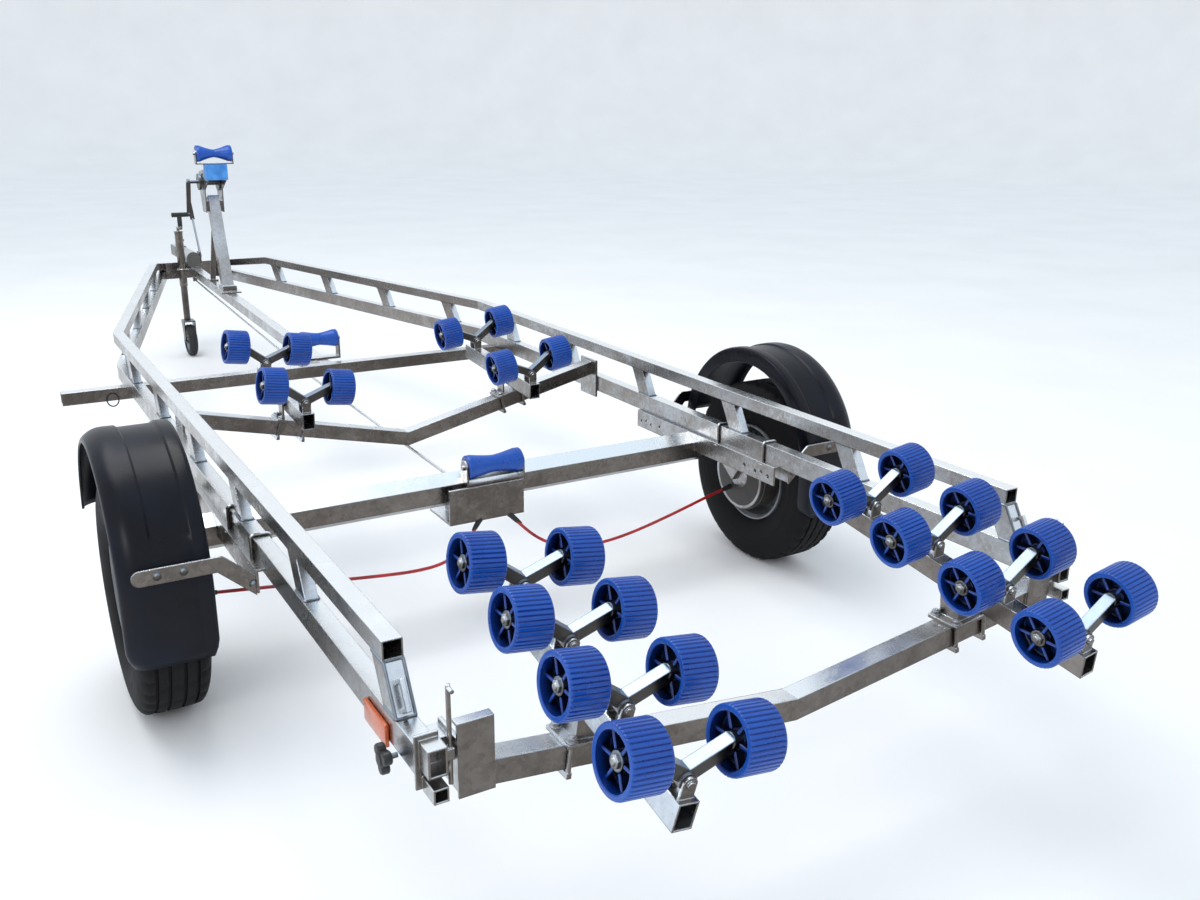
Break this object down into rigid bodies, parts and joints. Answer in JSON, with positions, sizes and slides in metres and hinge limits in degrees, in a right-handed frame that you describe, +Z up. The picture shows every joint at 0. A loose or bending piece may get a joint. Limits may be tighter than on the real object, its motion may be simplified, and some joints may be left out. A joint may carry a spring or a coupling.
{
  "type": "boat trailer",
  "caption": "Braked single-axle boat trailer with galvanised ladder side rails, blue wobble rollers on rocking arms, black mudguards, winch post and jockey wheel.",
  "frame": {"origin": "on the floor under the middle of the trailer's length and width", "axes": "+X to the trailer's right, +Y forward to the coupling, +Z up"},
  "size_m": [2.32, 6.8053, 1.333],
  "materials": {
    "galvanised_steel": "hot-dip galvanised",
    "zinc_coupling": "zinc plated",
    "blue_polyurethane": "glossy",
    "pale_blue_rubber": "satin",
    "tyre_rubber": "matt",
    "black_rubber": "matt",
    "black_plastic": "moulded, fine grain",
    "red_sheath": "glossy",
    "grey_wheel_steel": "silver paint"
  },
  "bodies": {
    "frame": {"right_rail": "galvanised_steel", "left_rail": "galvanised_steel", "front_cross_member": "galvanised_steel", "front_v_member": "galvanised_steel", "rear_v_member": "galvanised_steel", "axle": "galvanised_steel", "drawbar": "galvanised_steel", "coupling": "zinc_coupling", "handbrake": "galvanised_steel", "brake_gear": "galvanised_steel", "left_brake_cable": "red_sheath", "right_brake_cable": "red_sheath", "right_mudguard": "black_plastic", "left_mudguard": "black_plastic", "mudguard_stays": "galvanised_steel", "lamp_arm_sockets": "galvanised_steel", "right_rear_bunk": "galvanised_steel", "left_rear_bunk": "galvanised_steel", "bunk_mounts": "galvanised_steel", "keel_brackets": "galvanised_steel", "winch_post": "galvanised_steel", "snubber_block": "pale_blue_rubber", "jockey_outer": "galvanised_steel"},
    "left_wheel": {"left_tyre": "tyre_rubber", "left_rim": "grey_wheel_steel"},
    "right_wheel": {"right_tyre": "tyre_rubber", "right_rim": "grey_wheel_steel"},
    "left_front_bunk": {"left_front_bunk": "galvanised_steel"},
    "right_front_bunk": {"right_front_bunk": "galvanised_steel"},
    "left_rear_rocker_1": {"left_rear_rocker_1": "galvanised_steel"},
    "left_rear_rollers_1": {"left_rear_rollers_1": "blue_polyurethane"},
    "right_rear_rocker_1": {"right_rear_rocker_1": "galvanised_steel"},
    "right_rear_rollers_1": {"right_rear_rollers_1": "blue_polyurethane"},
    "left_rear_rocker_2": {"left_rear_rocker_2": "galvanised_steel"},
    "left_rear_rollers_2": {"left_rear_rollers_2": "blue_polyurethane"},
    "right_rear_rocker_2": {"right_rear_rocker_2": "galvanised_steel"},
    "right_rear_rollers_2": {"right_rear_rollers_2": "blue_polyurethane"},
    "left_rear_rocker_3": {"left_rear_rocker_3": "galvanised_steel"},
    "left_rear_rollers_3": {"left_rear_rollers_3": "blue_polyurethane"},
    "right_rear_rocker_3": {"right_rear_rocker_3": "galvanised_steel"},
    "right_rear_rollers_3": {"right_rear_rollers_3": "blue_polyurethane"},
    "left_rear_rocker_4": {"left_rear_rocker_4": "galvanised_steel"},
    "left_rear_rollers_4": {"left_rear_rollers_4": "blue_polyurethane"},
    "right_rear_rocker_4": {"right_rear_rocker_4": "galvanised_steel"},
    "right_rear_rollers_4": {"right_rear_rollers_4": "blue_polyurethane"},
    "left_front_rocker_1": {"left_front_rocker_1": "galvanised_steel"},
    "left_front_rollers_1": {"left_front_rollers_1": "blue_polyurethane"},
    "right_front_rocker_1": {"right_front_rocker_1": "galvanised_steel"},
    "right_front_rollers_1": {"right_front_rollers_1": "blue_polyurethane"},
    "left_front_rocker_2": {"left_front_rocker_2": "galvanised_steel"},
    "left_front_rollers_2": {"left_front_rollers_2": "blue_polyurethane"},
    "right_front_rocker_2": {"right_front_rocker_2": "galvanised_steel"},
    "right_front_rollers_2": {"right_front_rollers_2": "blue_polyurethane"},
    "axle_keel_roller": {"axle_keel_roller": "blue_polyurethane"},
    "drawbar_keel_roller": {"drawbar_keel_roller": "blue_polyurethane"},
    "bow_roller": {"bow_roller": "blue_polyurethane"},
    "winch_drum": {"winch_drum": "galvanised_steel"},
    "jockey_inner": {"jockey_inner": "galvanised_steel"},
    "jockey_fork": {"jockey_fork": "galvanised_steel"},
    "jockey_wheel": {"jockey_wheel": "black_rubber"}
  },
  "joints": [
    {"name": "left_wheel_spin", "type": "hinge", "parent": "frame", "child": "left_wheel", "pos_m": [-1.046, -1.65733, 0.322], "axis": [1, 0, 0], "continuous": true},
    {"name": "right_wheel_spin", "type": "hinge", "parent": "frame", "child": "right_wheel", "pos_m": [1.046, -1.65733, 0.322], "axis": [1, 0, 0], "continuous": true},
    {"name": "left_front_bunk_swing", "type": "hinge", "parent": "frame", "child": "left_front_bunk", "pos_m": [-0.424, -0.82733, 0.5692], "axis": [1, 0, 0], "range_deg": [0, 10]},
    {"name": "right_front_bunk_swing", "type": "hinge", "parent": "frame", "child": "right_front_bunk", "pos_m": [0.424, -0.82733, 0.5692], "axis": [1, 0, 0], "range_deg": [0, 10]},
    {"name": "left_rear_rocker_1_tilt", "type": "hinge", "parent": "frame", "child": "left_rear_rocker_1", "pos_m": [-0.48244, -2.73233, 0.63656], "axis": [0.0247, 0.986, 0.1649], "range_deg": [-40, 0]},
    {"name": "left_rear_rollers_1_spin", "type": "hinge", "parent": "left_rear_rocker_1", "child": "left_rear_rollers_1", "pos_m": [-0.47428, -2.74167, 0.69117], "axis": [-0.989, 0, 0.1478], "continuous": true},
    {"name": "right_rear_rocker_1_tilt", "type": "hinge", "parent": "frame", "child": "right_rear_rocker_1", "pos_m": [0.48244, -2.73233, 0.63656], "axis": [-0.0247, 0.986, 0.1649], "range_deg": [0, 40]},
    {"name": "right_rear_rollers_1_spin", "type": "hinge", "parent": "right_rear_rocker_1", "child": "right_rear_rollers_1", "pos_m": [0.47428, -2.74167, 0.69117], "axis": [0.989, 0, 0.1478], "continuous": true},
    {"name": "left_rear_rocker_2_tilt", "type": "hinge", "parent": "frame", "child": "left_rear_rocker_2", "pos_m": [-0.48752, -2.93533, 0.6026], "axis": [0.0247, 0.986, 0.1649], "range_deg": [-40, 0]},
    {"name": "left_rear_rollers_2_spin", "type": "hinge", "parent": "left_rear_rocker_2", "child": "left_rear_rollers_2", "pos_m": [-0.47936, -2.94467, 0.65721], "axis": [-0.989, 0, 0.1478], "continuous": true},
    {"name": "right_rear_rocker_2_tilt", "type": "hinge", "parent": "frame", "child": "right_rear_rocker_2", "pos_m": [0.48752, -2.93533, 0.6026], "axis": [-0.0247, 0.986, 0.1649], "range_deg": [0, 40]},
    {"name": "right_rear_rollers_2_spin", "type": "hinge", "parent": "right_rear_rocker_2", "child": "right_rear_rollers_2", "pos_m": [0.47936, -2.94467, 0.65721], "axis": [0.989, 0, 0.1478], "continuous": true},
    {"name": "left_rear_rocker_3_tilt", "type": "hinge", "parent": "frame", "child": "left_rear_rocker_3", "pos_m": [-0.49259, -3.13833, 0.56864], "axis": [0.0247, 0.986, 0.1649], "range_deg": [-40, 0]},
    {"name": "left_rear_rollers_3_spin", "type": "hinge", "parent": "left_rear_rocker_3", "child": "left_rear_rollers_3", "pos_m": [-0.48443, -3.14767, 0.62325], "axis": [-0.989, 0, 0.1478], "continuous": true},
    {"name": "right_rear_rocker_3_tilt", "type": "hinge", "parent": "frame", "child": "right_rear_rocker_3", "pos_m": [0.49259, -3.13833, 0.56864], "axis": [-0.0247, 0.986, 0.1649], "range_deg": [0, 40]},
    {"name": "right_rear_rollers_3_spin", "type": "hinge", "parent": "right_rear_rocker_3", "child": "right_rear_rollers_3", "pos_m": [0.48443, -3.14767, 0.62325], "axis": [0.989, 0, 0.1478], "continuous": true},
    {"name": "left_rear_rocker_4_tilt", "type": "hinge", "parent": "frame", "child": "left_rear_rocker_4", "pos_m": [-0.49744, -3.33233, 0.53619], "axis": [0.0247, 0.986, 0.1649], "range_deg": [-40, 0]},
    {"name": "left_rear_rollers_4_spin", "type": "hinge", "parent": "left_rear_rocker_4", "child": "left_rear_rollers_4", "pos_m": [-0.48928, -3.34167, 0.5908], "axis": [-0.989, 0, 0.1478], "continuous": true},
    {"name": "right_rear_rocker_4_tilt", "type": "hinge", "parent": "frame", "child": "right_rear_rocker_4", "pos_m": [0.49744, -3.33233, 0.53619], "axis": [-0.0247, 0.986, 0.1649], "range_deg": [0, 40]},
    {"name": "right_rear_rollers_4_spin", "type": "hinge", "parent": "right_rear_rocker_4", "child": "right_rear_rollers_4", "pos_m": [0.48928, -3.34167, 0.5908], "axis": [0.989, 0, 0.1478], "continuous": true},
    {"name": "left_front_rocker_1_tilt", "type": "hinge", "parent": "left_front_bunk", "child": "left_front_rocker_1", "pos_m": [-0.424, -0.54233, 0.64831], "axis": [0, 0.9968, 0.0802], "range_deg": [-30, 0]},
    {"name": "left_front_rollers_1_spin", "type": "hinge", "parent": "left_front_rocker_1", "child": "left_front_rollers_1", "pos_m": [-0.41621, -0.54678, 0.70359], "axis": [-0.9903, -0.0112, 0.1387], "continuous": true},
    {"name": "right_front_rocker_1_tilt", "type": "hinge", "parent": "right_front_bunk", "child": "right_front_rocker_1", "pos_m": [0.424, -0.54233, 0.64831], "axis": [0, 0.9968, 0.0802], "range_deg": [0, 30]},
    {"name": "right_front_rollers_1_spin", "type": "hinge", "parent": "right_front_rocker_1", "child": "right_front_rollers_1", "pos_m": [0.41621, -0.54678, 0.70359], "axis": [0.9903, -0.0112, 0.1387], "continuous": true},
    {"name": "left_front_rocker_2_tilt", "type": "hinge", "parent": "left_front_bunk", "child": "left_front_rocker_2", "pos_m": [-0.424, -1.02233, 0.60969], "axis": [0, 0.9968, 0.0802], "range_deg": [-30, 0]},
    {"name": "left_front_rollers_2_spin", "type": "hinge", "parent": "left_front_rocker_2", "child": "left_front_rollers_2", "pos_m": [-0.41621, -1.02678, 0.66497], "axis": [-0.9903, -0.0112, 0.1387], "continuous": true},
    {"name": "right_front_rocker_2_tilt", "type": "hinge", "parent": "right_front_bunk", "child": "right_front_rocker_2", "pos_m": [0.424, -1.02233, 0.60969], "axis": [0, 0.9968, 0.0802], "range_deg": [0, 30]},
    {"name": "right_front_rollers_2_spin", "type": "hinge", "parent": "right_front_rocker_2", "child": "right_front_rollers_2", "pos_m": [0.41621, -1.02678, 0.66497], "axis": [0.9903, -0.0112, 0.1387], "continuous": true},
    {"name": "axle_keel_roller_spin", "type": "hinge", "parent": "frame", "child": "axle_keel_roller", "pos_m": [0, -1.58233, 0.488], "axis": [1, 0, 0], "continuous": true},
    {"name": "drawbar_keel_roller_spin", "type": "hinge", "parent": "frame", "child": "drawbar_keel_roller", "pos_m": [0, 0.20767, 0.56], "axis": [1, 0, 0], "continuous": true},
    {"name": "bow_roller_spin", "type": "hinge", "parent": "frame", "child": "bow_roller", "pos_m": [0, 1.97767, 1.289], "axis": [1, 0, 0], "continuous": true},
    {"name": "winch_drum_turn", "type": "hinge", "parent": "frame", "child": "winch_drum", "pos_m": [0, 2.11767, 1.128], "axis": [1, 0, 0], "continuous": true},
    {"name": "jockey_slide", "type": "slide", "parent": "frame", "child": "jockey_inner", "axis": [0, 0, 1], "range_m": [-0.08, 0.165]},
    {"name": "jockey_swivel", "type": "hinge", "parent": "jockey_inner", "child": "jockey_fork", "pos_m": [-0.08, 2.80267, 0.226], "axis": [0, 0, 1], "continuous": true},
    {"name": "jockey_wheel_spin", "type": "hinge", "parent": "jockey_fork", "child": "jockey_wheel", "pos_m": [-0.08, 2.75267, 0.1], "axis": [1, 0, 0], "continuous": true}
  ]
}
